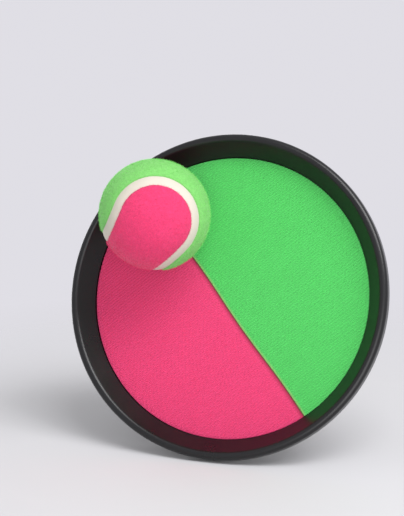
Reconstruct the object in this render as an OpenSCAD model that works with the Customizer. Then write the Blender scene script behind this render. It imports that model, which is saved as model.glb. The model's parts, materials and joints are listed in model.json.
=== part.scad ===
// Hook and loop catch paddle: a moulded dish with a catching face in two colours,
// a hand strap on its back, and a felt ball that clings to the face.
// The paddle stands upright: the face looks along -Y, +X is to its right, +Z is up.
// The origin is the middle of the palm face, on the dish's back.

/* [Dish] */
// Diameter over the rolled rim
rim_d = 185; // [178:1:200]
// Inner diameter of the pocket that holds the catching face
pocket_d = 161.6; // [150:0.2:166]
// Wall of the pocket, the flare and the rim
wall_t = 2; // [1.6:0.1:2.4]
// Thickness of the floor behind the hand
floor_t = 2.2; // [1.8:0.1:3]
// Height of the rim's crest above the catching face
rim_rise = 10.4; // [8:0.2:16]
// Outer radius of the roll at the rim
lip_r = 2.6; // [2.5:0.1:4]
// Straight skirt below the roll
skirt_h = 4.5; // [2:0.5:6]
// Rounding of the dish's back edge
heel_r = 2.4; // [1:0.1:2.6]

/* [Board seat] */
// Height of the ledge and the ribs above the floor
rib_h = 3.2; // [3:0.1:6]
// Thickness of the ribs
rib_t = 1.6; // [1.2:0.1:2.4]
// Width of the ledge under the board's edge
ledge_w = 5; // [3:0.5:8]
// Diameter of the inner ring rib
inner_ring_d = 60; // [40:1:70]
// Diameter of the outer ring rib
outer_ring_d = 132; // [128:1:140]
// Number of spokes between the ring ribs
spoke_count = 6; // [4:2:10]

/* [Catching face] */
// Thickness of the backing board
board_t = 1.6; // [1:0.1:3]
// Room round the board in its pocket
board_gap = 0.8; // [0.3:0.1:2]
// Glue bead between the ledge and the board
glue_t = 0.3; // [0.2:0.1:0.6]
// Adhesive film under the fabric
film_t = 0.2; // [0.1:0.05:0.4]
// Thickness of the hook fabric, pile included
fabric_t = 1.8; // [1.2:0.1:3]
// Room round the fabric in its pocket
fabric_gap = 0.3; // [0.1:0.1:1]
// Direction of the joint between the two colours, from +X towards +Z
joint_angle = -54.8; // [-90:0.1:90]
// Distance of the joint from the middle, towards the pink side
joint_offset = 5; // [0:0.5:20]
// Gap between the two colours
joint_gap = 0.4; // [0.1:0.1:1]

/* [Hand strap] */
// Width of the webbing
strap_w = 30; // [20:1:40]
// Thickness of the webbing
webbing_t = 1.3; // [1:0.1:1.6]
// Distance between the two strap bars
bar_span = 100; // [90:1:104]
// Diameter of a strap bar
bar_d = 3.6; // [3:0.1:4]
// Depth of a strap bar below the palm face
bar_sink = 0.2; // [0.1:0.1:0.4]
// Length of a strap bar's root on the floor at each end
bar_root = 3; // [2:0.5:5]
// Running clearance of the webbing round its bar
bar_clear = 0.1; // [0.05:0.01:0.2]
// Width of the window that the webbing passes through
window_w = 16; // [15:0.5:18]
// Room beside the webbing at each end of the window
window_room = 2; // [1:0.5:4]
// Corner radius of the window
window_r = 3; // [1:0.5:5]
// Room for the hand under the strap, at its crown
hand_room = 36; // [28:1:42]
// Length of the fold between the bar and its sewn plies
fold_l = 9; // [8:0.5:11]
// Length of the folded tail that is sewn down
tail_l = 24; // [16:1:26]
// Gap between the sewn plies
ply_gap = 0.1; // [0.05:0.05:0.3]
// Length of the hook and loop patches along the strap
patch_l = 46; // [30:1:48]
// Thickness of a patch
patch_t = 1.1; // [0.8:0.1:1.5]
// Distance of a patch from the webbing's edge
patch_inset = 2; // [1:0.5:4]
// Gap between the closed hook and loop patches
lap_gap = 0.3; // [0.2:0.05:0.5]
// Length of the pull tab past the hook patch
tab_l = 10; // [5:1:12]
// Length of the inner strap past the loop patch
end_l = 3; // [1:0.5:6]

/* [Stitches] */
// Length of a stitch
stitch_l = 2.4; // [1.5:0.1:3]
// Distance from one stitch to the next
stitch_pitch = 3.2; // [3.1:0.1:5]
// Thickness of the thread
thread_d = 0.45; // [0.3:0.05:0.6]
// Distance of a stitch row from the edge that it follows
stitch_inset = 3.5; // [2.5:0.5:5]
// Gap between the thread or a patch and the webbing
sew_gap = 0.04; // [0.03:0.01:0.1]

/* [Ball] */
// Diameter over the felt
ball_d = 63; // [55:0.5:68]
// Thickness of the felt
felt_t = 1.8; // [1.2:0.1:2.5]
// Wall of the hollow core
core_t = 3.2; // [2:0.1:5]
// Gap between the two halves of the core, and between the core and the felt
cement_t = 0.05; // [0.03:0.01:0.1]
// Width of the seam between the panels
seam_w = 5; // [3:0.5:6]
// Depth of the seam below the felt
seam_sink = 0.3; // [0:0.1:0.8]
// Tilt of the seam's lobes, which sets how narrow the panels' waists are
lobe_tilt = 10.7; // [5:0.1:20]
// Place of the ball on the face, to the right of the middle
ball_x = -34.3; // [-40:0.1:40]
// Place of the ball on the face, above the middle
ball_up = 43.6; // [-44:0.1:44]
// Gap between the ball and the face, which the hooks bridge
ball_gap = 0.3; // [0.2:0.1:0.6]
// Turn of the ball about x, y and z, face up
ball_turn = [-118.8, 60.3, 113.2]; // [-180:0.1:180]

/* [Hidden] */
$fn = 96;
black = "#141416";
pink = "#ee3f7d";
green = "#4cc45c";
ivory = "#f0efe6";

// Levels of the stack, measured from the palm face towards the catching face
rim_r = rim_d / 2;
pocket_r = pocket_d / 2;
ledge_z = floor_t + rib_h;
board_z = ledge_z + glue_t;
film_z = board_z + board_t;
fabric_z = film_z + film_t;
face_z = fabric_z + fabric_t;
board_r = pocket_r - board_gap;
fabric_r = pocket_r - fabric_gap;

// Section of the flare, which runs from the face's edge to touch the roll
lip_c = [rim_r - lip_r, face_z + rim_rise - lip_r];
flare_foot = [pocket_r, face_z];
foot_to_lip = lip_c - flare_foot;
flare_angle = atan2(foot_to_lip[1], foot_to_lip[0]) + asin(lip_r / norm(foot_to_lip));
flare_l = sqrt(foot_to_lip * foot_to_lip - lip_r * lip_r);
flare_u = [cos(flare_angle), sin(flare_angle)];
flare_n = [-flare_u[1], flare_u[0]];
flare_top = flare_foot + flare_l * flare_u;
flare_top_back = lip_c + (lip_r - wall_t) * flare_n;
back_run = wall_t * (1 - flare_u[1]) / flare_u[0];
flare_foot_back = flare_foot - wall_t * flare_n + back_run * flare_u;

// Arch of the strap: both halves are arcs about one centre, a lap's thickness apart
bar_x = bar_span / 2;
bar_z = bar_d / 2 + bar_sink;
window_h = strap_w + 2 * window_room;
lap_t = webbing_t + 2 * sew_gap + 2 * patch_t + lap_gap;
arch_drop = ply_gap / 2 + webbing_t + hand_room + bar_z;
arch_m = lap_t / bar_span;
arch_a = bar_x - lap_t * lap_t / (2 * bar_span);
arch_b = arch_a * arch_m + arch_drop;
arch_q = arch_a * arch_a + arch_drop * arch_drop;
inner_r = arch_q / (arch_b + sqrt(arch_b * arch_b - arch_m * arch_m * arch_q));
outer_r = inner_r + lap_t;
arch_c = [-(outer_r * outer_r - inner_r * inner_r) / (2 * bar_span), bar_z + inner_r - arch_drop];
patch_w = strap_w - 2 * patch_inset;
loop_r = bar_d / 2 + bar_clear;
// The legs between the bar and the arc are pressed a little thinner, and lap what they meet
leg_t = webbing_t - sew_gap;
bend_lap = 0.2;
loop_overlap = 8;

// Ball
ball_r = ball_d / 2;
core_r = ball_r - felt_t - cement_t;
felt_in_r = ball_r - felt_t;
lobe_angle = acos(cos(lobe_tilt) / sqrt(2));
half_seam = seam_w / 2;

function arc_deg(length, radius) = length / radius * 180 / PI;
function unit(v) = v / norm(v);
function on_arch(radius, angle) = arch_c + radius * [sin(angle), -cos(angle)];
function bar_angle(side) = atan2(bar_x - side * arch_c[0], arch_c[1] - bar_z);
function bar_radius(side) = side > 0 ? outer_r : inner_r;
// Radius of the middle of a ply: the main ply lies on the hand's side of the tail
function ply_radius(side, is_tail) =
    bar_radius(side) + (is_tail ? 1 : -1) * (ply_gap + webbing_t) / 2;
function fold_angle(side) = bar_angle(side) - arc_deg(fold_l, bar_radius(side));

// Turns what is modelled face up so that the face looks along -Y
module stand() {
    rotate([90, 0, 0]) children();
}

// Dish

module lip_section() {
    reach = 4 * lip_r;
    translate(lip_c) intersection() {
        difference() {
            circle(lip_r);
            circle(lip_r - wall_t);
        }
        polygon([[0, 0], [reach, 0], [reach, reach], [-reach, reach], reach * flare_n]);
    }
    translate([rim_r - wall_t, lip_c[1] - skirt_h]) square([wall_t, skirt_h]);
    translate([rim_r - wall_t / 2, lip_c[1] - skirt_h]) circle(d = wall_t);
}

module dish_section() {
    heel_x = pocket_r + wall_t - heel_r;
    polygon([
        [0, 0], [heel_x, 0], [heel_x, heel_r], [pocket_r + wall_t, heel_r],
        flare_foot_back, flare_top_back, flare_top, flare_foot,
        [pocket_r, ledge_z], [pocket_r - ledge_w, ledge_z],
        [pocket_r - ledge_w, floor_t], [0, floor_t]
    ]);
    translate([heel_x, heel_r]) intersection() {
        circle(heel_r);
        translate([0, -heel_r]) square(heel_r);
    }
    lip_section();
}

module ring_rib(diameter) {
    translate([0, 0, floor_t]) difference() {
        cylinder(d = diameter + rib_t, h = rib_h);
        translate([0, 0, -rib_h]) cylinder(d = diameter - rib_t, h = 3 * rib_h);
    }
}

module spokes() {
    length = (outer_ring_d - inner_ring_d) / 2;
    for (i = [0 : spoke_count - 1])
        rotate((i + 0.5) * 360 / spoke_count)
            translate([inner_ring_d / 2, -rib_t / 2, floor_t]) cube([length, rib_t, rib_h]);
}

module strap_window(side) {
    depth = ledge_z + 2;
    translate([side * bar_x, 0, -1]) linear_extrude(depth) {
        square([window_w - 2 * window_r, window_h], center = true);
        square([window_w, window_h - 2 * window_r], center = true);
        for (x = [-1, 1], y = [-1, 1])
            translate([x * (window_w / 2 - window_r), y * (window_h / 2 - window_r)])
                circle(window_r);
    }
}

module strap_bar(side) {
    translate([side * bar_x, 0, bar_z]) rotate([90, 0, 0])
        cylinder(d = bar_d, h = window_h + 2 * bar_root, center = true);
}

module dish() {
    color(black) stand() {
        difference() {
            union() {
                rotate_extrude() dish_section();
                ring_rib(inner_ring_d);
                ring_rib(outer_ring_d);
                spokes();
            }
            for (side = [-1, 1]) strap_window(side);
        }
        for (side = [-1, 1]) strap_bar(side);
    }
}

// Catching face

module board_glue() {
    color("#d8c89a") stand() translate([0, 0, ledge_z]) difference() {
        cylinder(r = board_r, h = glue_t);
        translate([0, 0, -1]) cylinder(r = pocket_r - ledge_w, h = glue_t + 2);
    }
}

module face_board() {
    color("#9a8a70") stand() translate([0, 0, board_z]) cylinder(r = board_r, h = board_t);
}

// One side of the disc: side is 1 for the green side and -1 for the pink side
module face_side(radius, side) {
    reach = 2 * radius;
    intersection() {
        circle(radius);
        rotate(joint_angle) translate([0, -joint_offset])
            translate([-reach, side > 0 ? joint_gap / 2 : -joint_gap / 2 - 2 * reach])
                square(2 * reach);
    }
}

module face_layer(z, thickness, radius, side) {
    stand() translate([0, 0, z]) linear_extrude(thickness) face_side(radius, side);
}

module pink_adhesive() {
    color("#e8dcc0") face_layer(film_z, film_t, board_r, -1);
}

module green_adhesive() {
    color("#e8dcc0") face_layer(film_z, film_t, board_r, 1);
}

module pink_face() {
    color(pink) face_layer(fabric_z, fabric_t, fabric_r, -1);
}

module green_face() {
    color(green) face_layer(fabric_z, fabric_t, fabric_r, 1);
}

// Hand strap: side is 1 for the outer strap, on the right bar, and -1 for the inner one

// Band between two radii of the arch, from one angle to another
module arch_band(r_in, r_out, from, to) {
    steps = ceil(abs(to - from) / 60);
    intersection() {
        translate(arch_c) difference() {
            circle(r_out);
            circle(r_in);
        }
        polygon(concat([arch_c], [
            for (i = [0 : steps]) on_arch(2 * r_out, from + (to - from) * i / steps)
        ]));
    }
}

// Straight ply from the start of its arc to where it touches the loop round the bar
function ply_start(side, is_tail) = on_arch(ply_radius(side, is_tail), side * fold_angle(side));
function bar_point(side) = [side * bar_x, bar_z];
function leg_run(side, is_tail) = bar_point(side) - ply_start(side, is_tail);
function leg_angle(side, is_tail) =
    let (run = leg_run(side, is_tail), turn = asin((loop_r + webbing_t / 2) / norm(run)))
    atan2(run[1], run[0]) + side * (is_tail ? -turn : turn);
function leg_length(side, is_tail) =
    let (run = leg_run(side, is_tail), r = loop_r + webbing_t / 2) sqrt(run * run - r * r);
function leg_touch(side, is_tail) =
    let (a = leg_angle(side, is_tail))
    ply_start(side, is_tail) + leg_length(side, is_tail) * [cos(a), sin(a)];

module leg(side, is_tail) {
    translate(ply_start(side, is_tail)) rotate(leg_angle(side, is_tail))
        translate([-bend_lap, -leg_t / 2]) square([leg_length(side, is_tail) + bend_lap, leg_t]);
}

// Part of a ring round the bar, from one leg round the bar's far side to the other
module bar_loop(side) {
    reach = 3 * (loop_r + webbing_t);
    centre = bar_point(side);
    middle = unit(bar_point(side) - on_arch(bar_radius(side), side * fold_angle(side)));
    away = atan2(middle[1], middle[0]);
    touch = unit(leg_touch(side, false) - centre);
    spread = acos(touch * middle) + loop_overlap;
    translate(centre) rotate(away) intersection() {
        difference() {
            circle(loop_r + webbing_t);
            circle(loop_r);
        }
        polygon(concat([[0, 0]], [
            for (i = [-3 : 3]) reach * [cos(spread * i / 3), sin(spread * i / 3)]
        ]));
    }
}

module webbing_section(side, free_angle) {
    start = side * fold_angle(side);
    tail_end = start - side * arc_deg(tail_l, ply_radius(side, true));
    half = webbing_t / 2;
    main_r = ply_radius(side, false);
    tail_r = ply_radius(side, true);
    lap_start = start + side * arc_deg(bend_lap, main_r);
    arch_band(main_r - half, main_r + half, lap_start, free_angle);
    arch_band(tail_r - half, tail_r + half, lap_start, tail_end);
    leg(side, false);
    leg(side, true);
    bar_loop(side);
}

// Extrudes a section of the arch across the strap
module across(width) {
    stand() rotate([90, 0, 0]) linear_extrude(width, center = true) children();
}

module outer_strap() {
    free_angle = -arc_deg(patch_l / 2 + tab_l, outer_r);
    color(black) across(strap_w) webbing_section(1, free_angle);
}

module inner_strap() {
    free_angle = arc_deg(patch_l / 2 + end_l, inner_r);
    color(black) across(strap_w) webbing_section(-1, free_angle);
}

module patch_section(r_in) {
    half_angle = arc_deg(patch_l / 2, r_in);
    arch_band(r_in, r_in + patch_t, -half_angle, half_angle);
}

module hook_patch() {
    color("#202022") across(patch_w)
        patch_section(ply_radius(1, false) - webbing_t / 2 - sew_gap - patch_t);
}

module loop_patch() {
    color("#26262a") across(patch_w)
        patch_section(ply_radius(-1, false) + webbing_t / 2 + sew_gap);
}

// One stitch on the arch, its inner face at a radius: along the arch, or across it
module stitch(radius, angle, y, is_along) {
    size = is_along ? [stitch_l, thread_d, thread_d] : [thread_d, stitch_l, thread_d];
    translate([arch_c[0], 0, arch_c[1]]) rotate([0, -angle, 0])
        translate([0, y, -radius - thread_d / 2]) cube(size, center = true);
}

module row_across(radius, angle, width) {
    count = floor((width - stitch_l) / stitch_pitch) + 1;
    for (i = [0 : count - 1])
        stitch(radius, angle, (i - (count - 1) / 2) * stitch_pitch, false);
}

module row_along(radius, middle, length, y) {
    count = floor((length - stitch_l) / stitch_pitch) + 1;
    for (i = [0 : count - 1])
        stitch(radius, middle + arc_deg((i - (count - 1) / 2) * stitch_pitch, radius), y, true);
}

// Box of stitches through the tail and the main ply
module fold_box(side) {
    radius = ply_radius(side, true) + webbing_t / 2 + sew_gap;
    start = fold_angle(side) - arc_deg(stitch_inset, radius);
    end = fold_angle(side) - arc_deg(tail_l - stitch_inset, radius);
    width = strap_w - 2 * stitch_inset;
    for (angle = [start, end]) row_across(radius, side * angle, width - stitch_pitch);
    for (y = [-1, 1])
        row_along(radius, side * (start + end) / 2, tail_l - 2 * stitch_inset, y * width / 2);
}

module patch_rows(radius) {
    for (y = [-1, 1]) row_along(radius, 0, patch_l - 2 * sew_gap, y * (strap_w / 2 - stitch_inset));
}

module outer_strap_stitches() {
    color(ivory) stand() fold_box(1);
}

module inner_strap_stitches() {
    color(ivory) stand() fold_box(-1);
}

module hook_patch_stitches() {
    color(ivory) stand() patch_rows(ply_radius(1, false) + webbing_t / 2 + sew_gap);
}

module loop_patch_stitches() {
    color(ivory) stand() patch_rows(ply_radius(-1, false) - webbing_t / 2 - sew_gap - thread_d);
}

// Ball: two felt panels that meet along four arcs, two about lobes on x and two about lobes on y

module place_ball() {
    stand() translate([ball_x, ball_up, face_z + ball_gap + ball_r]) rotate(ball_turn) children();
}

module shell(r_out, r_in) {
    difference() {
        sphere(r_out);
        sphere(r_in);
    }
}

// Half of space above or below the plane of the lobes
module half_space(is_upper) {
    reach = 2 * ball_d;
    translate([-reach / 2, -reach / 2, is_upper ? 0 : -reach]) cube(reach);
}

module lobe_cones(angle, about_x) {
    height = 1.3 * ball_r;
    for (side = [-1, 1])
        rotate(about_x ? [0, side * (90 + lobe_tilt), 0] : [side * (90 - lobe_tilt), 0, 0])
            cylinder(h = height, r1 = 0, r2 = height * tan(angle));
}

// What lies on the x lobes' side of the seam, or on the y lobes' side, a margin away from it
module panel_side(margin, about_x) {
    turn = arc_deg(margin, ball_r);
    intersection() {
        half_space(!about_x);
        lobe_cones(lobe_angle - turn, about_x);
    }
    difference() {
        half_space(about_x);
        lobe_cones(lobe_angle + turn, !about_x);
    }
}

module core_half(is_upper) {
    place_ball() intersection() {
        shell(core_r, core_r - core_t);
        translate([0, 0, (is_upper ? 1 : -1) * cement_t / 2]) half_space(is_upper);
    }
}

module ball_core_upper() {
    color("#4a4a4c") core_half(true);
}

module ball_core_lower() {
    color("#4a4a4c") core_half(false);
}

module felt_panel(about_x) {
    place_ball() intersection() {
        shell(ball_r, felt_in_r);
        panel_side(half_seam + cement_t, about_x);
    }
}

module ball_pink_felt() {
    color(pink) felt_panel(true);
}

module ball_green_felt() {
    color(green) felt_panel(false);
}

module ball_seam() {
    turn = arc_deg(half_seam, ball_r);
    color(ivory) place_ball() intersection() {
        shell(ball_r - seam_sink, felt_in_r);
        union() for (about_x = [true, false]) intersection() {
            half_space(!about_x);
            difference() {
                lobe_cones(lobe_angle + turn, about_x);
                lobe_cones(lobe_angle - turn, about_x);
            }
        }
    }
}

dish();
board_glue();
face_board();
pink_adhesive();
green_adhesive();
pink_face();
green_face();
outer_strap();
inner_strap();
hook_patch();
loop_patch();
outer_strap_stitches();
inner_strap_stitches();
hook_patch_stitches();
loop_patch_stitches();
ball_core_upper();
ball_core_lower();
ball_pink_felt();
ball_green_felt();
ball_seam();
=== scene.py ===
"""Looks of the hook and loop catch paddle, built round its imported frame. Lengths are in metres."""

import json
import math

import bmesh
import bpy
import numpy as np
from mathutils import Euler, Matrix, Vector, noise


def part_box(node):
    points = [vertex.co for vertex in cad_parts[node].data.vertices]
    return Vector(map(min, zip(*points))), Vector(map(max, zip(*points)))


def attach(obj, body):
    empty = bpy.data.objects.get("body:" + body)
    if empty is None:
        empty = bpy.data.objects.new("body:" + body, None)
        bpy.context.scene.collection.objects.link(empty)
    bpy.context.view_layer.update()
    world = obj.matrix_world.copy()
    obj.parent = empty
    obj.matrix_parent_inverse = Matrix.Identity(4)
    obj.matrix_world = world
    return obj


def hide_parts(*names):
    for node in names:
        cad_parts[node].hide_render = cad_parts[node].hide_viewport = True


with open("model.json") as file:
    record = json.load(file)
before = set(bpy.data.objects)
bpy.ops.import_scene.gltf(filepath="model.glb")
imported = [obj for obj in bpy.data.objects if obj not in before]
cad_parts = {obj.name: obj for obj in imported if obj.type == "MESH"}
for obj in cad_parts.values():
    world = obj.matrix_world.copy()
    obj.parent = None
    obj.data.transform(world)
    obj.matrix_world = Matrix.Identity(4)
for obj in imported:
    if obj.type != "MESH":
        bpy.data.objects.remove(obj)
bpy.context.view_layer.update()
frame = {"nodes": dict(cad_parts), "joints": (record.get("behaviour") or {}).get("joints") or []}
scene = bpy.context.scene
scene.view_settings.view_transform = "Standard"

MM = 0.001
TURN = 2 * math.pi
HOOK_SEED = 11
NAP_SEED = 31
PATCH_SEED = 51
STITCH_SEED = 71

# Map of a repeated shape: a narrow strip, moved sideways by the shape's own shade
BAKE_MAP = "OFBake"
MAP_STRIP = 0.03
MAP_SPREAD = 0.96

# Dish: "out" is the distance in front of the palm face, towards the ball
RIM_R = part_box("dish")[1].x
CREST = -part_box("dish")[0].y
FACE = -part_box("green_face")[0].y
FABRIC_BACK = -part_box("green_face")[1].y
FABRIC_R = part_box("green_face")[1].x
POCKET_R = 80.8 * MM
WALL = 2 * MM
FLOOR = 2.2 * MM
LEDGE = 5.4 * MM
LEDGE_W = 5 * MM
LIP_R = 2.6 * MM
SKIRT = 4.5 * MM
HEEL_R = 2.4 * MM  # rounding where the wall meets the palm face
RIB_T = 1.6 * MM
RIB_SINK = 0.2 * MM
RING_DIAMETERS = (60 * MM, 132 * MM)
SPOKES = 6
PLATE_R = 72 * MM  # flat middle of the floor, with the windows and the gate mark
WINDOW_W = 16 * MM
WINDOW_R = 3 * MM
WINDOW_ROOM = 2 * MM
WINDOW_EDGE = 0.5 * MM
WINDOW_STEPS = 3
BAR_R = 1.8 * MM
BAR_ROOT = 3 * MM
BAR_BEVEL = 0.4 * MM
BAR_END_R = 0.8 * BAR_R
BAR_STEPS = 32
GATE_R = 4 * MM
GATE_SINK = 0.5 * MM
GATE_STEPS = 36
DIMPLE_STEPS = 4
STUB_R = 1.1 * MM
STUB_TOP_R = 0.9 * STUB_R
STUB_SINK = 0.12 * MM
FILLET_W = 0.12 * MM
FILLET_H = 0.1 * MM
FLAT_MARGIN = 0.35 * MM  # flat strip round an opening, which keeps its shading even
SCUFF_DEPTH = 1.3 * MM
SCUFF_FADE = 0.9 * MM
GRAIN_DEPTH = 0.25 * MM
GRAIN_FADE = 0.2 * MM
STEPS_ROUND = 288

# Catching face
JOINT_ANGLE = math.radians(-54.8)
JOINT_OFFSET = 5 * MM
JOINT_GAP = 0.4 * MM
JOINT_WAVE = 0.45 * MM
WAVE_PEAK = 60 * MM
WAVE_TURN = TURN / (83 * MM)
ROW_PITCH = 1.54 * MM
ROW_DEPTH = 0.2 * MM
ROW_STEPS = 6
ROW_COLUMNS = 22
ROW_LEAST = 0.02 * MM  # how far the outermost row stays inside the face's tip
ROW_PER_EDGE = 2.2  # a short row is this many times as long as each of its rounded edges
EDGE_POINTS = 4
THREAD_W = ROW_PITCH / 4
HOOK_PITCH = 1.3 * MM
HOOK_STAGGER = 0.33 * MM
HOOK_R = 0.13 * MM
HOOK_SEAT = 0.05 * MM  # depth of a hook's root in the ground
PILE_H = 0.8 * MM
PINK_SINK = 0.4 * MM  # how far the pink ground lies below the green one
FILM_TRIM = 0.3 * MM
FILM_STEPS = 81
FABRIC_EDGE = 0.55 * MM
FABRIC_WAVE = 0.1 * MM
FABRIC_WAVES_PER_M = 45
FABRIC_NOISE_STEP = 9.0

# Hand strap
joints = {joint["name"]: joint for joint in frame["joints"]}
BAR_X, BAR_Y, _ = joints["outer_strap_swing"]["pos_m"]
STRAP_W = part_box("outer_strap")[1].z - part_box("outer_strap")[0].z
WEBBING_T = 1.3 * MM
BAR_CLEAR = 0.1 * MM
HAND_ROOM = 36 * MM
FOLD_L = 9 * MM
TAIL_L = 24 * MM
PLY_GAP = 0.1 * MM
PATCH_L = 46 * MM
PATCH_W = 26 * MM
PATCH_T = 1.1 * MM
PATCH_PILE_H = 0.5 * MM
PATCH_PITCH = 1.25 * MM
PATCH_BORDER = 2 * MM
PILE_SEAT = 0.04 * MM
LAP_GAP = 0.3 * MM
TAB_L = 10 * MM
END_L = 3 * MM
TAB_CORNER_R = 7 * MM
END_CORNER_R = 2 * MM
ARCH_STEPS = 90
LOOP_STEPS = 40
BAND_STEP = 0.5 * MM
BAND_EDGE = 0.7 * MM
BAND_EDGE_SHARE = 0.35  # share of its thickness that a band keeps at its edge
CORD_POINTS = 5
CORD_WEAVE = 1.25  # length of one weave, in widths of a cord
CORD_SWELL = 0.4
STRAND_PITCH = 0.75 * MM
SEW_GAP = 0.04 * MM
STITCH_L = 2.4 * MM
STITCH_PITCH = 3.2 * MM
STITCH_INSET = 3.5 * MM
THREAD_R = 0.24 * MM
STITCH_POINTS = 7
STITCH_LIFT = 0.16 * MM
STITCH_DIVE = 0.38 * MM

# Ball
core_low = Vector(map(min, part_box("ball_core_upper")[0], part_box("ball_core_lower")[0]))
core_high = Vector(map(max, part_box("ball_core_upper")[1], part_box("ball_core_lower")[1]))
BALL_CENTRE = (core_low + core_high) / 2
CORE_R = (core_high.x - core_low.x) / 2
BALL_R = 31.5 * MM
FELT_IN_R = CORE_R + 0.05 * MM
NAP_H = 0.5 * MM
NAP_REACH = BALL_R - NAP_H - 0.9 * MM  # nap grows outside this radius, so not on a panel's inside
NAP_PER_M2 = 3.3e6
FELT_MARGIN = 3.2 * MM
FELT_LAP = 0.1 * MM
FELT_RAGGED = 0.28 * MM
FELT_BEND = 1.1 * MM
FELT_DROP = 0.6  # share of a full rounding that a cut edge has
FELT_LUMPS = ((0.12 * MM, 12, 3.0), (0.05 * MM, 45, 7.0))  # height, scale and offset of each noise
# Width of the painted shade along a felt panel's cut edge.
CUT_EDGE = 1.3 * MM
SEAM_LAP = 0.4 * MM
SEAM_SINK = 0.75 * MM
SEAM_CROWN = 0.25 * MM
SEAM_LUMPS = 0.04 * MM
LOBE_TILT = math.radians(10.7)
BALL_TURN = [math.radians(angle) for angle in (-118.8, 60.3, 113.2)]

# Colours
BLACK = (0.005, 0.005, 0.0055)
PINK = (0.9, 0.054, 0.18)
GREEN = (0.088, 0.565, 0.124)
FELT_PINK = (0.8, 0.052, 0.178)
FELT_GREEN = (0.23, 0.65, 0.165)
CREAM = (0.65, 0.6, 0.52)
HOOK_TAPE = (0.02, 0.02, 0.022)
LOOP_TAPE = (0.026, 0.026, 0.029)
FLOOR_GREY = (0.635, 0.63, 0.655)
BACKDROP = (0.745, 0.735, 0.785)
BRIGHTEST = 0.95


def stand(x, up, out):
    """A point of the upright paddle from its place on the face and its distance in front of the palm."""
    return (x, -out, up)


# Node trees


def pick(sockets, key):
    """A socket by its place, or the first one in use with that name, or the first one in use."""
    if isinstance(key, int):
        return sockets[key]
    return next(s for s in sockets if s.enabled and key in (None, s.name))


def math_operator(operation):
    """A Python operator that adds a Math node."""
    def add_node(self, value):
        return self.owner.calculate(operation, self, value)
    return add_node


class Socket:
    """An output of a node that takes Python's operators."""

    def __init__(self, owner, socket):
        self.owner = owner
        self.socket = socket

    def other(self, name):
        return Socket(self.owner, pick(self.socket.node.outputs, name))

    def __rsub__(self, value):
        return self.owner.calculate("SUBTRACT", value, self)

    __add__ = __radd__ = math_operator("ADD")
    __sub__ = math_operator("SUBTRACT")
    __mul__ = __rmul__ = math_operator("MULTIPLY")
    __truediv__ = math_operator("DIVIDE")
    __pow__ = math_operator("POWER")
    __gt__ = math_operator("GREATER_THAN")


class Tree:
    """A node tree with one method that adds any node."""

    def __init__(self, tree):
        self.tree = tree

    def add(self, kind, settings=None, inputs=None, output=None):
        node = self.tree.nodes.new(kind)
        for key, value in (settings or {}).items():
            setattr(node, key, value)
        for key, value in (inputs or {}).items():
            self.feed(pick(node.inputs, key), value)
        return Socket(self, pick(node.outputs, output)) if node.outputs else None

    def feed(self, socket, value):
        if isinstance(value, Socket):
            self.tree.links.new(value.socket, socket)
        else:
            socket.default_value = value

    def calculate(self, operation, *values):
        return self.add("ShaderNodeMath", {"operation": operation}, dict(enumerate(values)))


def rgba(colour):
    return colour if isinstance(colour, Socket) else (*colour, 1)


def scaled(colour, factor):
    """A darker or paler shade of a colour."""
    return tuple(min(channel * factor, BRIGHTEST) for channel in colour)


class Finish(Tree):
    """A procedural material round a Principled shader."""

    def __init__(self, name, gloss, sheen=0.0):
        self.material = bpy.data.materials.new(name)
        self.material.use_nodes = True
        super().__init__(self.material.node_tree)
        self.shader = self.tree.nodes["Principled BSDF"]
        self.feed(self.shader.inputs["Specular IOR Level"], gloss)
        self.feed(self.shader.inputs["Sheen Weight"], sheen)
        self.place = self.add("ShaderNodeTexCoord", output="Object")

    def noise(self, scale, detail=2, stretch=(1, 1, 1), turn=(0, 0, 0)):
        """Noise with a number of lumps to the metre, which may be drawn out along an axis."""
        drawn = {"Vector": self.place, "Scale": stretch, "Rotation": turn}
        spot = self.add("ShaderNodeMapping", {}, drawn)
        return self.add("ShaderNodeTexNoise", {}, {"Vector": spot, "Scale": scale, "Detail": detail}, "Fac")

    def attribute(self, name):
        return self.add("ShaderNodeAttribute", {"attribute_name": name}, output="Fac")

    def sine(self, value):
        return self.calculate("SINE", value)

    def ripple(self, value):
        """A sine that runs between zero and one."""
        return self.sine(value) * 0.5 + 0.5

    def clip(self, value):
        return self.add("ShaderNodeClamp", {}, {"Value": value})

    def mix(self, factor, first, second):
        sides = {"Factor": factor, "A": rgba(first), "B": rgba(second)}
        return self.add("ShaderNodeMix", {"data_type": "RGBA"}, sides)

    def paint(self, colour, roughness, height=None, depth=0.1 * MM, strength=0.5):
        """Feeds the shader: its colour, its roughness and a bump with a depth in metres."""
        self.feed(self.shader.inputs["Base Color"], colour)
        self.feed(self.shader.inputs["Roughness"], roughness)
        if height is not None:
            bump = {"Strength": strength, "Distance": depth, "Height": height}
            self.feed(self.shader.inputs["Normal"], self.add("ShaderNodeBump", {}, bump))
        return self.material


# Finishes


def black_plastic():
    """Glossy moulded plastic with faint hairlines, a scuffed rim and a fine grain on the palm face."""
    finish = Finish("black_plastic", gloss=0.4)
    cloud = finish.noise(55, 3)
    peel = finish.noise(750, 1)
    hairline = finish.noise(90, 4, (1, 1, 26)) > 0.66
    level = finish.add("ShaderNodeSeparateXYZ", {}, {0: finish.place}, "Y")
    crest = finish.clip((-1 * level - (CREST - SCUFF_DEPTH)) / SCUFF_FADE)
    scuff = crest * finish.clip(finish.noise(1600, 3) * 5 - 2.7)
    palm = finish.clip((level + GRAIN_DEPTH) / GRAIN_FADE)
    grain = palm * finish.noise(1900, 1)
    colour = finish.mix(cloud * 0.5 + scuff * 0.5 + palm * 0.3, BLACK, scaled(BLACK, 2.4))
    roughness = 0.24 + cloud * 0.1 + hairline * 0.07 + scuff * 0.1 + palm * 0.14
    return finish.paint(colour, roughness, peel + grain * 4, depth=0.02 * MM, strength=0.35)


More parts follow.
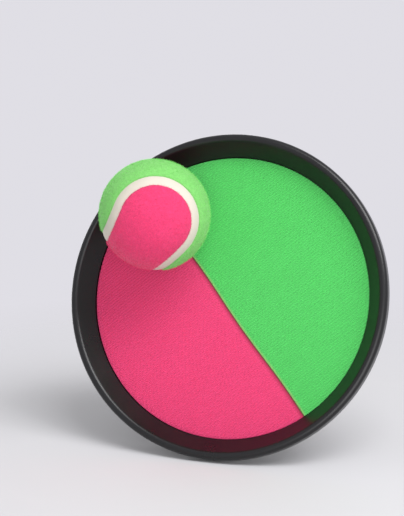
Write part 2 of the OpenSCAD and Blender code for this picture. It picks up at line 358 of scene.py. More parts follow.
def hook_fabric(name, colour, dark, edge, painted_light_share, painted_light_w):
    """Woven ground under the hooks: rows across the joint, with painted shade in the hollows of its rows
    and threads, and a band along the joint: painted shadow on the pink side, a paler cut edge with a
    painted highlight on the green side.
    """
    finish = Finish(name, gloss=0.25, sheen=0.1)
    turned = {"Vector": finish.place, "Rotation": (0, JOINT_ANGLE, 0)}
    spot = finish.add("ShaderNodeMapping", {}, turned)
    along = finish.add("ShaderNodeSeparateXYZ", {}, {0: spot}, "X")
    across = along.other("Z")
    row = finish.ripple(along * (TURN / ROW_PITCH) + math.pi / 2)
    thread_turn = math.pi / THREAD_W
    crossing = finish.sine(along * thread_turn) * finish.sine(across * thread_turn)
    swell = finish.calculate("ABSOLUTE", crossing) ** 0.5
    blotch = finish.noise(70, 3)
    fleck = finish.noise(1500, 2)
    fibre = finish.noise(5200, 2)
    # Paler on the crests of the rows and of the thread bulges: painted shade in their hollows. The thread
    # parity, flecks and fibres are the weave's own tones.
    woven = row * 0.18 + swell * 0.2 + (crossing > 0) * 0.08 + fleck * 0.36 + fibre * 0.18
    ground = finish.mix(woven, scaled(colour, dark), scaled(colour, 1.42))
    cloudy = finish.mix(blotch * 0.25, ground, scaled(colour, 0.85))
    # Band along the joint in the colour given for it: painted shadow on the pink side; on the green side a
    # paler cut edge, partly a painted highlight on its rounding.
    wave_start = math.pi / 2 - WAVE_PEAK * WAVE_TURN
    wave = finish.sine(along * WAVE_TURN + wave_start) * JOINT_WAVE + JOINT_WAVE
    from_joint = finish.calculate("ABSOLUTE", across + JOINT_OFFSET - wave)
    painted_joint_light = finish.clip(painted_light_share - from_joint / painted_light_w)
    with_painted_edge_light = finish.mix(painted_joint_light, cloudy, edge)
    relief = swell * 0.75 + fibre * 0.25
    return finish.paint(with_painted_edge_light, 0.72 + fibre * 0.2, relief, depth=0.16 * MM, strength=0.9)


def pile(name, root, tip, roughness):
    """Hooks, loops or nap, a little different from one to the next, with painted light that makes them
    paler towards their tips.
    """
    finish = Finish(name, gloss=0.3, sheen=0.1)
    height = finish.attribute("tip")
    shade = finish.attribute("shade")
    # Paler towards the tip: painted light on the tips. The shade attribute is a random tone of each copy.
    colour = finish.mix(finish.clip(height * 0.65 + shade * 0.35), root, tip)
    return finish.paint(colour, roughness + shade * 0.15)


def felt(name, colour):
    """Pressed felt: matted fibres, soft blotches and a darker cut edge, which is painted shade where the
    felt rounds down to the seam.
    """
    finish = Finish(name, gloss=0.15, sheen=0.2)
    matted = finish.clip(finish.noise(1100, 4) * 1.5 + finish.noise(4600, 2) * 0.9 - 0.7)
    blotch = finish.noise(120, 3)
    ground = finish.mix(matted, scaled(colour, 0.7), scaled(colour, 1.14))
    cloudy = finish.mix(blotch * 0.3, ground, scaled(colour, 0.82))
    # Painted shade along the cut edge, where the felt rounds down to the sunken seam.
    with_painted_edge_light = finish.mix(finish.attribute("cut_edge_shade") * 0.55, cloudy, scaled(colour, 0.5))
    return finish.paint(with_painted_edge_light, 0.85 + matted * 0.12, matted, depth=0.25 * MM, strength=0.7)


def grainy(name, gloss, grain, blotch, shares, tones, roughness):
    """Plain finish of two tones, with soft blotches and a fine grain that shows in its relief."""
    finish = Finish(name, gloss)
    fine = finish.noise(*grain)
    soft = finish.noise(*blotch)
    colour = finish.mix(fine * shares[0] + soft * shares[1], *tones)
    return finish.paint(colour, roughness[0] + fine * roughness[1], fine)


def seam_rubber():
    return grainy("seam_rubber", gloss=0.35, grain=(1300, 3), blotch=(160, 3), shares=(0.2, 0.6),
                  tones=(CREAM, scaled(CREAM, 0.84)), roughness=(0.55, 0.25))


def core_rubber():
    return grainy("core_rubber", gloss=0.35, grain=(1600, 2), blotch=(90, 3), shares=(0.3, 0.7),
                  tones=((0.045, 0.045, 0.05), (0.1, 0.1, 0.105)), roughness=(0.6, 0.25))


def hardboard():
    """Pressed board whose fibres are drawn out to one side."""
    fibres = (900, 5, (1, 1, 0.25), (0, 0.6, 0))
    return grainy("hardboard", gloss=0.25, grain=fibres, blotch=(150, 3), shares=(0.6, 0.4),
                  tones=((0.15, 0.09, 0.05), (0.4, 0.27, 0.16)), roughness=(0.6, 0.3))


def tape(name, colour):
    """Ground of the hook and the loop patch: a close dark weave."""
    return grainy(name, gloss=0.3, grain=(2100, 2), blotch=(300, 3), shares=(0.6, 0.4),
                  tones=(scaled(colour, 0.6), scaled(colour, 1.5)), roughness=(0.7, 0.2))


def webbing():
    """Black yarn in a herringbone, paler on the crests of the weave."""
    finish = Finish("webbing", gloss=0.35, sheen=0.08)
    crest = finish.attribute("crest")
    slant = finish.calculate("PINGPONG", finish.attribute("cord"), 1)
    strand = finish.ripple((finish.attribute("run") / STRAND_PITCH + slant * 1.2) * TURN)
    fluff = finish.noise(2600, 2)
    blotch = finish.noise(140, 2)
    paling = finish.clip(crest * 0.5 + strand * 0.35 + fluff * 0.15)
    colour = finish.mix(paling, (0.004, 0.004, 0.0045), (0.026, 0.026, 0.028))
    dusty = finish.mix(blotch * 0.15, colour, (0.04, 0.039, 0.038))
    relief = strand * 0.8 + fluff * 0.2
    return finish.paint(dusty, 0.5 + fluff * 0.3, relief, depth=0.12 * MM, strength=0.8)


def thread():
    """Twisted sewing thread."""
    finish = Finish("thread", gloss=0.4)
    twist = finish.ripple(finish.attribute("tip") * 75)
    lint = finish.noise(3000, 2)
    colour = finish.mix(twist * 0.7 + lint * 0.3, (0.02, 0.02, 0.022), (0.085, 0.085, 0.09))
    return finish.paint(colour, 0.4 + lint * 0.3, twist, depth=0.05 * MM)


def adhesive(name, thin, thick):
    """Glue or adhesive film, in swirls and with small bubbles."""
    finish = Finish(name, gloss=0.5)
    swirl = finish.noise(260, 4)
    bubble = finish.noise(1400, 1)
    colour = finish.mix(swirl, thin, thick)
    return finish.paint(colour, 0.25 + bubble * 0.3, swirl * 0.7 + bubble * 0.3, strength=0.4)


# Meshes


def add_object(name, data):
    thing = bpy.data.objects.new(name, data)
    scene.collection.objects.link(thing)
    return thing


def finish_piece(name, mesh, shape, material, smooth_angle):
    """Writes a shape into its mesh, with the normals turned outwards, and makes it a piece."""
    bmesh.ops.recalc_face_normals(shape, faces=shape.faces)
    shape.to_mesh(mesh)
    shape.free()
    mesh.shade_smooth()
    mesh.set_sharp_from_angle(angle=math.radians(smooth_angle))
    mesh.materials.append(material)
    return add_object(name, mesh)


def make_piece(name, vertices, faces, material, smooth_angle=40):
    """A piece from its vertices and faces."""
    mesh = bpy.data.meshes.new(name)
    mesh.from_pydata([tuple(v) for v in vertices], [], faces)
    shape = bmesh.new()
    shape.from_mesh(mesh)
    return finish_piece(name, mesh, shape, material, smooth_angle)


def mark(piece, name, values, kind="FLOAT"):
    """Stores a value for each vertex of a piece under a name."""
    attribute = piece.data.attributes.new(name, kind, "POINT")
    key = "value" if kind == "FLOAT" else "vector"
    attribute.data.foreach_set(key, np.asarray(values, np.float32).ravel())


def settle(piece, body, slot, *nodes):
    """The piece rides on a body and stands for CAD nodes, which it hides. Its slot of the record is not
    used.
    """
    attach(piece, body)
    if nodes:
        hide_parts(*nodes)
    return piece


def arc(centre, radius, start, end, steps):
    """Points of an arc in a plane, from one angle to another."""
    points = []
    for i in range(steps + 1):
        angle = start + (end - start) * i / steps
        points.append(Vector((centre[0] + radius * math.cos(angle), centre[1] + radius * math.sin(angle))))
    return points


def circle(centre, radius, steps):
    return arc(centre, radius, 0, TURN, steps)[:-1]


def strip_faces(rings, count):
    """Four-sided faces between rings that follow one another, with a count of vertices in each."""
    faces = []
    for start in range(0, (rings - 1) * count, count):
        for k in range(count):
            a, b = start + k, start + (k + 1) % count
            faces.append((a, b, b + count, a + count))
    return faces


def tube_faces(rings, count):
    """The faces of such a strip, and one across each end."""
    last = (rings - 1) * count
    return strip_faces(rings, count) + [tuple(range(count)), tuple(range(last, last + count))]


def sweep(path, radii, sides):
    """Tube along a path in the xz plane, pointed where its last radius is zero.

    Returns its vertices, its faces and how far along each vertex lies.
    """
    vertices, share = [], []
    for i, (point, radius) in enumerate(zip(path, radii)):
        ahead = path[min(i + 1, len(path) - 1)] - path[max(i - 1, 0)]
        across = Vector((-ahead.y, ahead.x)).normalized()
        for k in range(sides):
            angle = TURN * k / sides
            side = across * (radius * math.cos(angle))
            vertices.append((point.x + side.x, radius * math.sin(angle), point.y + side.y))
            share.append(i / (len(path) - 1))
    faces = tube_faces(len(path), sides)
    if radii[-1]:
        return vertices, faces, share
    last = len(vertices) - sides
    pointed = [tuple(dict.fromkeys(min(v, last) for v in face)) for face in faces[:-1]]
    return vertices[:last + 1], pointed, share[:last + 1]


def repeat_shape(name, path, radii, sides, material):
    """Small shape for a tree to repeat, with its tip and a narrow map for the bake."""
    vertices, faces, share = sweep(path, radii, sides)
    shape = make_piece(name, vertices, faces, material, smooth_angle=100)
    mark(shape, "tip", share)
    bake_map = shape.data.uv_layers.new(name=BAKE_MAP)
    corners = np.zeros(len(shape.data.loops), np.int32)
    shape.data.loops.foreach_get("vertex_index", corners)
    spots = [(0.5 + 0.5 * math.sin(corner), share[corner]) for corner in corners]
    bake_map.data.foreach_set("uv", np.asarray(spots, np.float32).ravel())
    return shape


# Repeats: one tree places a shape on marked points, and another scatters it over a surface


def new_tree(name, sizes):
    """A geometry tree with its named inputs, and the sockets that they come out of."""
    group = bpy.data.node_groups.new(name, "GeometryNodeTree")
    group.interface.new_socket("Geometry", in_out="OUTPUT", socket_type="NodeSocketGeometry")
    kinds = {
        "Geometry": "NodeSocketGeometry", "Shape": "NodeSocketObject", "Finish": "NodeSocketMaterial",
        "Seed": "NodeSocketInt", "Centre": "NodeSocketVector",
    }
    for key in sizes:
        group.interface.new_socket(key, in_out="INPUT", socket_type=kinds.get(key, "NodeSocketFloat"))
    tree = Tree(group)
    first = tree.add("NodeGroupInput", output="Geometry")
    return tree, {key: first.other(key) for key in sizes}


def random_value(tree, kind, low, high, seed):
    sizes = {"Min": low, "Max": high, "Seed": seed}
    return tree.add("FunctionNodeRandomValue", {"data_type": kind}, sizes)


def vector_math(tree, operation, first, second):
    return tree.add("ShaderNodeVectorMath", {"operation": operation}, {0: first, 1: second})


def read_named(tree, kind, name):
    return tree.add("GeometryNodeInputNamedAttribute", {"data_type": kind}, {"Name": name})


def store_named(tree, geometry, name, value, kind, domain):
    stored = {"Geometry": geometry, "Name": name, "Value": value}
    return tree.add("GeometryNodeStoreNamedAttribute", {"data_type": kind, "domain": domain}, stored)


def place_shapes(tree, given, points, out, along):
    """Ends a tree: leans, turns and sizes the shape on each point, and makes it all one mesh."""
    swing = random_value(tree, "FLOAT_VECTOR", (-1, -1, -1), (1, 1, 1), given["Seed"])
    lean = vector_math(tree, "MULTIPLY", swing, given["Lean"])
    leaning = vector_math(tree, "ADD", out, lean)
    risen = tree.add("FunctionNodeAlignRotationToVector", {"axis": "Z"}, {"Vector": leaning})
    faced = {"Rotation": risen, "Vector": along}
    turned = tree.add("FunctionNodeAlignRotationToVector", {"axis": "X", "pivot_axis": "Z"}, faced)
    spread = given["Spread"]
    size = random_value(tree, "FLOAT", 1 - spread, 1 + spread, given["Seed"] + 1)
    shape = tree.add("GeometryNodeObjectInfo", {}, {"Object": given["Shape"]}, "Geometry")
    inputs = {"Points": points, "Instance": shape, "Rotation": turned, "Scale": size}
    copies = tree.add("GeometryNodeInstanceOnPoints", {}, inputs)
    shade = random_value(tree, "FLOAT", 0.0, 1.0, given["Seed"] + 2)
    kept = store_named(tree, copies, "shade", shade, "FLOAT", "INSTANCE")
    solid = tree.add("GeometryNodeRealizeInstances", {}, {"Geometry": kept})
    shift = tree.add("ShaderNodeCombineXYZ", {}, {"X": read_named(tree, "FLOAT", "shade") * MAP_SPREAD})
    own_map = read_named(tree, "FLOAT_VECTOR", BAKE_MAP)
    narrow = vector_math(tree, "MULTIPLY", own_map, (MAP_STRIP, 1, 0))
    mapped = vector_math(tree, "ADD", narrow, shift)
    flat = store_named(tree, solid, BAKE_MAP, mapped, "FLOAT2", "CORNER")
    done = tree.add("GeometryNodeSetMaterial", {}, {"Geometry": flat, "Material": given["Finish"]})
    tree.add("NodeGroupOutput", {}, {"Geometry": done})


def marked_tree():
    """Places the shape on the points of a mesh, along their own "out" and "along" directions."""
    tree, given = new_tree("on_marked_points", ("Geometry", "Shape", "Finish", "Seed", "Lean", "Spread"))
    out, along = (read_named(tree, "FLOAT_VECTOR", key) for key in ("out", "along"))
    place_shapes(tree, given, given["Geometry"], out, along)
    return tree.tree


def scatter_tree():
    """Scatters the shape over the faces that lie beyond a reach from a centre."""
    sizes = ("Geometry", "Shape", "Finish", "Seed", "Lean", "Spread", "Density", "Centre", "Reach")
    tree, given = new_tree("scattered_nap", sizes)
    spot = tree.add("GeometryNodeInputPosition")
    away = vector_math(tree, "DISTANCE", spot, given["Centre"]).other("Value")
    chosen = {
        "Mesh": given["Geometry"], "Selection": away > given["Reach"],
        "Density": given["Density"], "Seed": given["Seed"],
    }
    points = tree.add("GeometryNodeDistributePointsOnFaces", {}, chosen, "Points")
    combed = random_value(tree, "FLOAT_VECTOR", (-1, -1, -1), (1, 1, 1), given["Seed"] + 3)
    place_shapes(tree, given, points, points.other("Normal"), combed)
    return tree.tree


def grow(piece, tree, sizes):
    """Runs a tree on a piece, keeps the result as its plain mesh and clears away the repeated shape."""
    modifier = piece.modifiers.new(tree.name, "NODES")
    modifier.node_group = tree
    for item in tree.interface.items_tree:
        if item.in_out == "INPUT" and item.name in sizes:
            modifier[item.identifier] = sizes[item.name]
    graph = bpy.context.evaluated_depsgraph_get()
    grown = bpy.data.meshes.new_from_object(piece.evaluated_get(graph))
    piece.modifiers.clear()
    bpy.data.objects.remove(sizes["Shape"])
    piece.data = grown
    return piece


def repeat_on(name, places, shape, material, lean, spread, seed):
    """A piece with a shape on each place, given as a point, its out and its along direction."""
    points, outs, alongs = zip(*places)
    piece = make_piece(name, points, [], material)
    mark(piece, "out", outs, "FLOAT_VECTOR")
    mark(piece, "along", alongs, "FLOAT_VECTOR")
    sizes = {"Shape": shape, "Finish": material, "Seed": seed, "Lean": lean, "Spread": spread}
    return grow(piece, MARKED, sizes)


MARKED = marked_tree()
SCATTERED = scatter_tree()


# Dish


def straight(start, end, near=0.4 * MM):
    """A straight run with a point close to each end, which keeps its shading flat."""
    start, end = Vector(start), Vector(end)
    step = (end - start).normalized() * near
    return [start, start + step, end - step, end]


def dish_section():
    """Half section of the dish as (radius, out), from the floor's front round the rim to its back."""
    lip = Vector((RIM_R - LIP_R, CREST - LIP_R))
    foot = Vector((POCKET_R, FACE))
    run = lip - foot
    slope = math.atan2(run.y, run.x) + math.asin(LIP_R / run.length)
    along = Vector((math.cos(slope), math.sin(slope)))
    normal = Vector((-along.y, along.x))
    top = foot + along * math.sqrt(run.length_squared - LIP_R ** 2)
    inner = LIP_R - WALL
    heel = Vector((POCKET_R + WALL - HEEL_R, HEEL_R))
    back_foot = foot - normal * WALL + along * (WALL * (1 - along.y) / along.x)
    skirt_end = Vector((RIM_R - WALL / 2, lip.y - SKIRT))
    tilt = slope + math.pi / 2
    runs = (
        straight(foot, top),
        arc(lip, LIP_R, tilt, 0, steps=14),
        straight((RIM_R, lip.y), (RIM_R, skirt_end.y)),
        arc(skirt_end, WALL / 2, 0, -math.pi, steps=10),
        straight((RIM_R - WALL, skirt_end.y), (RIM_R - WALL, lip.y)),
        arc(lip, inner, 0, tilt, steps=6),
        straight(lip + normal * inner, back_foot),
        straight(back_foot, (POCKET_R + WALL, HEEL_R)),
        arc(heel, HEEL_R, 0, -math.pi / 2, steps=8),
        straight((heel.x, 0), (PLATE_R, 0)),
    )
    ledge_r = POCKET_R - LEDGE_W
    points = [(PLATE_R, FLOOR), (ledge_r, FLOOR), (ledge_r, LEDGE), (POCKET_R, LEDGE), foot]
    points = [Vector(point) for point in points]
    for part in runs:
        points += part[1:]
    return points


def join_rings(shape, first, second):
    count = len(first)
    for i in range(count):
        after = (i + 1) % count
        shape.faces.new((first[i], first[after], second[after], second[i]))


def add_tube(shape, loops):
    """Rings of points, each joined to the next. Returns the first and the last ring."""
    rings = [[shape.verts.new(point) for point in loop] for loop in loops]
    for first, second in zip(rings, rings[1:]):
        join_rings(shape, first, second)
    return rings[0], rings[-1]


def add_solid(shape, loops):
    """A tube with both ends closed."""
    for ring in add_tube(shape, loops):
        shape.faces.new(ring)


def raised(outline, out):
    """A flat outline, brought to its distance in front of the palm face."""
    return [stand(p.x, p.y, out) for p in outline]


def add_lathe(shape, section, steps=STEPS_ROUND):
    """Turns a section about the paddle's axis. Returns its first and last ring."""
    return add_tube(shape, [raised(circle((0, 0), radius, steps), out) for radius, out in section])


def window_outline(side, grow_by):
    """Outline of a strap window, grown outwards by an edge's rounding."""
    half_w = WINDOW_W / 2 - WINDOW_R
    half_h = STRAP_W / 2 + WINDOW_ROOM - WINDOW_R
    points = []
    for quarter, (sx, sy) in enumerate(((1, 1), (-1, 1), (-1, -1), (1, -1))):
        start = quarter * math.pi / 2
        centre = (side * BAR_X + sx * half_w, sy * half_h)
        points += arc(centre, WINDOW_R + grow_by, start, start + math.pi / 2, steps=8)
    return points


def add_window(shape, side):
    """Wall of a strap window with rounded edges. Returns its back and front ring."""
    levels = [(WINDOW_EDGE + FLAT_MARGIN, 0)]
    for step in range(WINDOW_STEPS + 1):
        angle = step * math.pi / (2 * WINDOW_STEPS)
        levels.append((WINDOW_EDGE * (1 - math.sin(angle)), WINDOW_EDGE * (1 - math.cos(angle))))
    levels += [(grow_by, FLOOR - out) for grow_by, out in reversed(levels)]
    return add_tube(shape, [raised(window_outline(side, grow_by), out) for grow_by, out in levels])


def add_gate(shape):
    """Dimple in the middle of the palm face, with the stub that is left where the mould was filled."""
    levels = [(GATE_R + FLAT_MARGIN, 0), (GATE_R, 0)]
    for step in range(1, DIMPLE_STEPS + 1):
        angle = step * math.pi / (2 * DIMPLE_STEPS)
        levels.append((GATE_R - GATE_SINK * 2 * math.sin(angle), GATE_SINK * (1 - math.cos(angle))))
    levels += [(STUB_R + FILLET_W, GATE_SINK), (STUB_R, GATE_SINK - FILLET_H), (STUB_TOP_R, STUB_SINK)]
    outside, top = add_lathe(shape, levels, GATE_STEPS)
    shape.faces.new(top)
    return outside


def edge_between(first, second):
    return next(edge for edge in first.link_edges if edge.other_vert(first) is second)


def add_bar(shape, side):
    """Strap bar across a window, rooted in the floor at both ends."""
    half = STRAP_W / 2 + WINDOW_ROOM + BAR_ROOT
    short = half - BAR_BEVEL
    loops = []
    for up, radius in ((-half, BAR_END_R), (-short, BAR_R), (short, BAR_R), (half, BAR_END_R)):
        loops.append([stand(p.x, up, p.y) for p in circle((side * BAR_X, -BAR_Y), radius, BAR_STEPS)])
    add_solid(shape, loops)


def add_spoke(shape, angle):
    """Rib on the floor's front between the two ring ribs."""
    inner, outer = (diameter / 2 for diameter in RING_DIAMETERS)
    turn = Matrix.Rotation(angle, 2)
    corners = ((inner, -1), (outer, -1), (outer, 1), (inner, 1))
    spots = [turn @ Vector((radius, side * RIB_T / 2)) for radius, side in corners]
    add_solid(shape, [raised(spots, out) for out in (FLOOR - RIB_SINK, LEDGE)])


def make_dish(material):
    """Moulded dish: flared wall, rolled rim, floor with two strap windows, bars, ribs and a gate mark."""
    shape = bmesh.new()
    front, back = add_lathe(shape, dish_section())
    front_rings, back_rings = [front], [back]
    for side in (-1, 1):
        window_back, window_front = add_window(shape, side)
        front_rings.append(window_front)
        back_rings.append(window_back)
    back_rings.append(add_gate(shape))
    for rings in (front_rings, back_rings):
        edges = [edge_between(a, b) for ring in rings for a, b in zip(ring, ring[1:] + ring[:1])]
        bmesh.ops.triangle_fill(shape, use_beauty=True, edges=edges)
    for diameter in RING_DIAMETERS:
        inner, outer = diameter / 2 - RIB_T / 2, diameter / 2 + RIB_T / 2
        low = FLOOR - RIB_SINK
        first, last = add_lathe(shape, [(inner, low), (outer, low), (outer, LEDGE), (inner, LEDGE)])
        join_rings(shape, last, first)
    for side in (-1, 1):
        add_bar(shape, side)
    for i in range(SPOKES):
        add_spoke(shape, (i + 0.5) * TURN / SPOKES)
    name = "moulded_dish"
    piece = finish_piece(name, bpy.data.meshes.new(name), shape, material, smooth_angle=35)
    return settle(piece, "paddle", "black_plastic", "dish")


# Catching face: v runs along the joint of the two colours, u across it towards the green side


def on_face(u, v, out):
    """A point of the catching face, or in front of or behind it."""
    across = u - JOINT_OFFSET
    x = v * math.cos(JOINT_ANGLE) - across * math.sin(JOINT_ANGLE)
    up = v * math.sin(JOINT_ANGLE) + across * math.cos(JOINT_ANGLE)
    return stand(x, up, out)


def row_ends(v, side):
    """Where a row of hooks starts and ends: at the slightly wavy joint and at the round edge."""
    half_chord = math.sqrt(max(FABRIC_R ** 2 - v ** 2, 0))
    low, high = JOINT_OFFSET - half_chord, JOINT_OFFSET + half_chord
    joint = JOINT_WAVE * (1 + math.cos((v - WAVE_PEAK) * WAVE_TURN)) + side * JOINT_GAP / 2
    if side > 0:
        return max(low, joint), high
    return low, min(high, joint)


def fabric_level(u, v, side):
    """Level of the woven ground at its crests, with the slight waves of a glued fabric."""
    spot = Vector((u * FABRIC_WAVES_PER_M, v * FABRIC_WAVES_PER_M, side * FABRIC_NOISE_STEP))
    return FACE - PILE_H - (PINK_SINK if side < 0 else 0) + FABRIC_WAVE * noise.noise(spot)


def face_limit(side):
    """Largest distance along the joint at which a row still has some length."""
    edge = 0 if side > 0 else JOINT_OFFSET + JOINT_GAP / 2
    return math.sqrt(FABRIC_R ** 2 - edge ** 2) - ROW_LEAST


def row_columns(start, end):
    """Places along a row with the rounding of its ends, as (u, drop)."""
    edge = min(FABRIC_EDGE, (end - start) / ROW_PER_EDGE)
    flat_w = end - start - 2 * edge
    angles = np.linspace(0, math.pi / 2, EDGE_POINTS)
    bend = [(edge * (1 - math.cos(a)), FABRIC_EDGE * (1 - math.sin(a))) for a in angles]
    middle = [(start + edge + flat_w * i / ROW_COLUMNS, 0) for i in range(1, ROW_COLUMNS)]
    return [(start + d, h) for d, h in bend] + middle + [(end - d, h) for d, h in reversed(bend)]


def make_fabric(name, side, material):
    """Hook fabric's ground as one closed sheet, ribbed along its rows."""
    limit = face_limit(side)
    steps = int(limit / ROW_PITCH * ROW_STEPS)
    lines = [-limit] + [i * ROW_PITCH / ROW_STEPS for i in range(-steps, steps + 1)] + [limit]
    vertices = []
    for v in lines:
        start, end = row_ends(v, side)
        rib = (1 - math.cos(TURN * v / ROW_PITCH)) / 2
        for u, drop in row_columns(start, end):
            vertices.append(on_face(u, v, fabric_level(u, v, side) - ROW_DEPTH * rib - drop))
        vertices += [on_face(u, v, FABRIC_BACK) for u in (end, start)]
    faces = tube_faces(len(lines), len(vertices) // len(lines))
    return make_piece(name, vertices, faces, material, smooth_angle=60)


def make_film(name, side, material):
    """Adhesive film under a fabric, trimmed a little inside its edges."""
    front, back = (-corner.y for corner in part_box(f"{name}_adhesive"))
    limit = face_limit(side) - FILM_TRIM
    lines = np.linspace(-limit, limit, FILM_STEPS)
    vertices = []
    for v in lines:
        start, end = row_ends(v, side)
        trim = min(FILM_TRIM, (end - start) / 4)
        corners = ((start + trim, front), (end - trim, front), (end - trim, back), (start + trim, back))
        vertices += [on_face(u, v, out) for u, out in corners]
    faces = tube_faces(len(lines), len(vertices) // len(lines))
    film = make_piece(f"{name}_adhesive_film", vertices, faces, material)
    settle(film, "paddle", "adhesive_film", f"{name}_adhesive")


def hook_places(side):
    """Hooks along the crest of each row, staggered about it and facing both ways in turn."""
    places = []
    rows = int(face_limit(side) / ROW_PITCH)
    for row in range(-rows, rows + 1):
        v = row * ROW_PITCH
        start, end = row_ends(v, side)
        count = int((end - start - 2 * FABRIC_EDGE) / HOOK_PITCH - 0.5)
        for i in range(count):
            u = start + FABRIC_EDGE + (i + 0.5 + 0.5 * (row % 2)) * HOOK_PITCH
            facing = 1 if i % 2 else -1
            ahead = Vector(on_face(facing, 0, 0)) - Vector(on_face(0, 0, 0))
            level = fabric_level(u, v, side) - HOOK_SEAT
            places.append((on_face(u, v + facing * HOOK_STAGGER, level), (0, -1, 0), ahead))
    return places


def hook_shape(material, height):
    """A bent hook: a stem, and a little over half a turn that ends in a point."""
    bend = 0.3 * height
    stem = height - bend - HOOK_R
    path = [Vector((0, 0)), Vector((0, stem))]
    for angle in (1, 2.1, 3.6):
        path.append(bend * Vector((1 - math.cos(angle), math.sin(angle))) + Vector((0, stem)))
    radii = [HOOK_R * share for share in (1.15, 1, 0.95, 0.85, 0)]
    return repeat_shape("hook_shape", path, radii, sides=4, material=material)


def make_face(name, side, colour, fabric):
    """Hook fabric of one colour: its ground and its hooks."""
    ground = make_fabric(f"{name}_hook_fabric", side, fabric)
    # The tip colour is paler: painted light on the hooks' tips.
    material = pile(f"{name}_hooks", scaled(colour, 1.05), scaled(colour, 1.7), roughness=0.34)
    shape = hook_shape(material, PILE_H + HOOK_SEAT)
    hooks = repeat_on(f"{name}_hooks", hook_places(side), shape, material,
                      lean=0.22, spread=0.12, seed=HOOK_SEED + side)
    settle(ground, "paddle", f"{name}_hook_fabric", f"{name}_face")
    settle(hooks, "paddle", f"{name}_hook_fabric")


# Ball


BALL_AXES = Matrix.Rotation(math.pi / 2, 3, "X") @ Euler(BALL_TURN, "XYZ").to_matrix()


def seam_distance(points):
    """Arc from the seam's middle to points of the unit sphere, positive on the pink side."""
    lobe = math.acos(math.cos(LOBE_TILT) / math.sqrt(2))
    x, y, z = points.T
    level, slant = math.cos(LOBE_TILT), math.sin(LOBE_TILT)
    to_x_lobe = np.arccos(np.clip(np.abs(x) * level - z * slant, -1, 1))
    to_y_lobe = np.arccos(np.clip(np.abs(y) * level + z * slant, -1, 1))
    return np.where(z <= 0, lobe - to_x_lobe, to_y_lobe - lobe)


def unit(rows):
    """Rows of coordinates, each brought to a length of one."""
    return rows / np.linalg.norm(rows, axis=1)[:, None]


def unit_sphere():
    """Points and triangles of an even sphere."""
    shape = bmesh.new()
    bmesh.ops.create_icosphere(shape, subdivisions=7, radius=1)
    shape.verts.ensure_lookup_table()
    points = np.array([v.co for v in shape.verts])
    triangles = np.array([[v.index for v in face.verts] for face in shape.faces])
    shape.free()
    return unit(points), triangles


def cut_sphere(points, triangles, level, snap=0.3):
    """The part of the sphere where level is positive, cut cleanly where it is zero: (points, faces)."""
    points, level = points.copy(), level.copy()
    pairs = np.concatenate([triangles[:, ends] for ends in ([0, 1], [1, 2], [2, 0])])
    edges = np.unique(np.sort(pairs, axis=1), axis=0)
    a, b = edges.T
    crossing = level[a] * level[b] < 0
    share = np.where(crossing, level[a] / np.where(crossing, level[a] - level[b], 1), 0.5)
    met = points[a] + (points[b] - points[a]) * share[:, None]
    for ends, close in ((a, crossing & (share < snap)), (b, crossing & (share > 1 - snap))):
        points[ends[close]] = met[close]
        level[ends[close]] = 0
    kept = [tuple(t) for t in triangles[(level[triangles] >= 0).all(1) & (level[triangles] > 0).any(1)]]
    mixed = triangles[(level[triangles] > 0).any(1) & (level[triangles] < 0).any(1)]
    spots, cuts = list(points), {}
    for triangle in mixed:
        face = []
        for first, second in zip(triangle, np.roll(triangle, -1)):
            if level[first] >= 0:
                face.append(first)
            if level[first] * level[second] < 0:
                key = (min(first, second), max(first, second))
                if key not in cuts:
                    part = level[first] / (level[first] - level[second])
                    cuts[key] = len(spots)
                    spots.append(points[first] + (points[second] - points[first]) * part)
                face.append(cuts[key])
        kept.append(tuple(face))
    used = sorted({v for face in kept for v in face})
    renamed = {v: i for i, v in enumerate(used)}
    return unit(np.array(spots)[used]), [tuple(renamed[v] for v in face) for face in kept]


def make_shell(name, points, faces, outer, inner, material):
    """Closed shell over a part of the sphere, with an outer radius for each point and one inner one."""
    count = len(points)
    turned = points @ np.array(BALL_AXES).T
    vertices = np.concatenate([turned * outer[:, None], turned * inner]) + np.array(BALL_CENTRE)
    sides = {}
    for face in faces:
        for edge in zip(face, face[1:] + face[:1]):
            sides[edge] = True
    walls = [(b, a, a + count, b + count) for a, b in sides if (b, a) not in sides]
    inside = [tuple(v + count for v in reversed(face)) for face in faces]
    return make_piece(name, vertices, faces + inside + walls, material, smooth_angle=75)


def noise_over(points, scale, offset):
    return np.array([noise.noise(Vector(p) * scale + Vector((offset, 0, 0))) for p in points])


def make_felt(name, side, sphere, material):
    """Felt panel with a rounded, slightly uneven cut edge along the seam."""
    points, triangles = sphere
    ragged = FELT_RAGGED * noise_over(points, scale=26, offset=side * 5.0) / BALL_R
    margin = FELT_MARGIN / BALL_R + ragged
    chosen, faces = cut_sphere(points, triangles, side * seam_distance(points) - margin)
    inset = np.clip(side * seam_distance(chosen) * BALL_R - FELT_MARGIN + FELT_LAP, 0, None)
    short = np.clip(FELT_BEND - inset, 0, FELT_BEND)
    drop = FELT_BEND - np.sqrt(np.clip(FELT_BEND ** 2 - short ** 2, 0, None))
    lumps = sum(height * noise_over(chosen, scale, offset) for height, scale, offset in FELT_LUMPS)
    outer = BALL_R - NAP_H - FELT_DROP * drop + lumps
    piece = make_shell(name, chosen, faces, outer, FELT_IN_R, material)
    # Mask of the painted shade along the cut edge.
    edge = np.clip(1 - inset / CUT_EDGE, 0, 1)
    mark(piece, "cut_edge_shade", np.concatenate([edge, edge]))
    return piece


def make_nap(name, ground, shape, material, seed):
    """Short fibres that stand off a felt panel."""
    nap = add_object(name, ground.data.copy())
    sizes = {
        "Shape": shape, "Finish": material, "Seed": seed, "Lean": 1.1, "Spread": 0.35,
        "Density": NAP_PER_M2, "Centre": BALL_CENTRE, "Reach": NAP_REACH,
    }
    return grow(nap, SCATTERED, sizes)


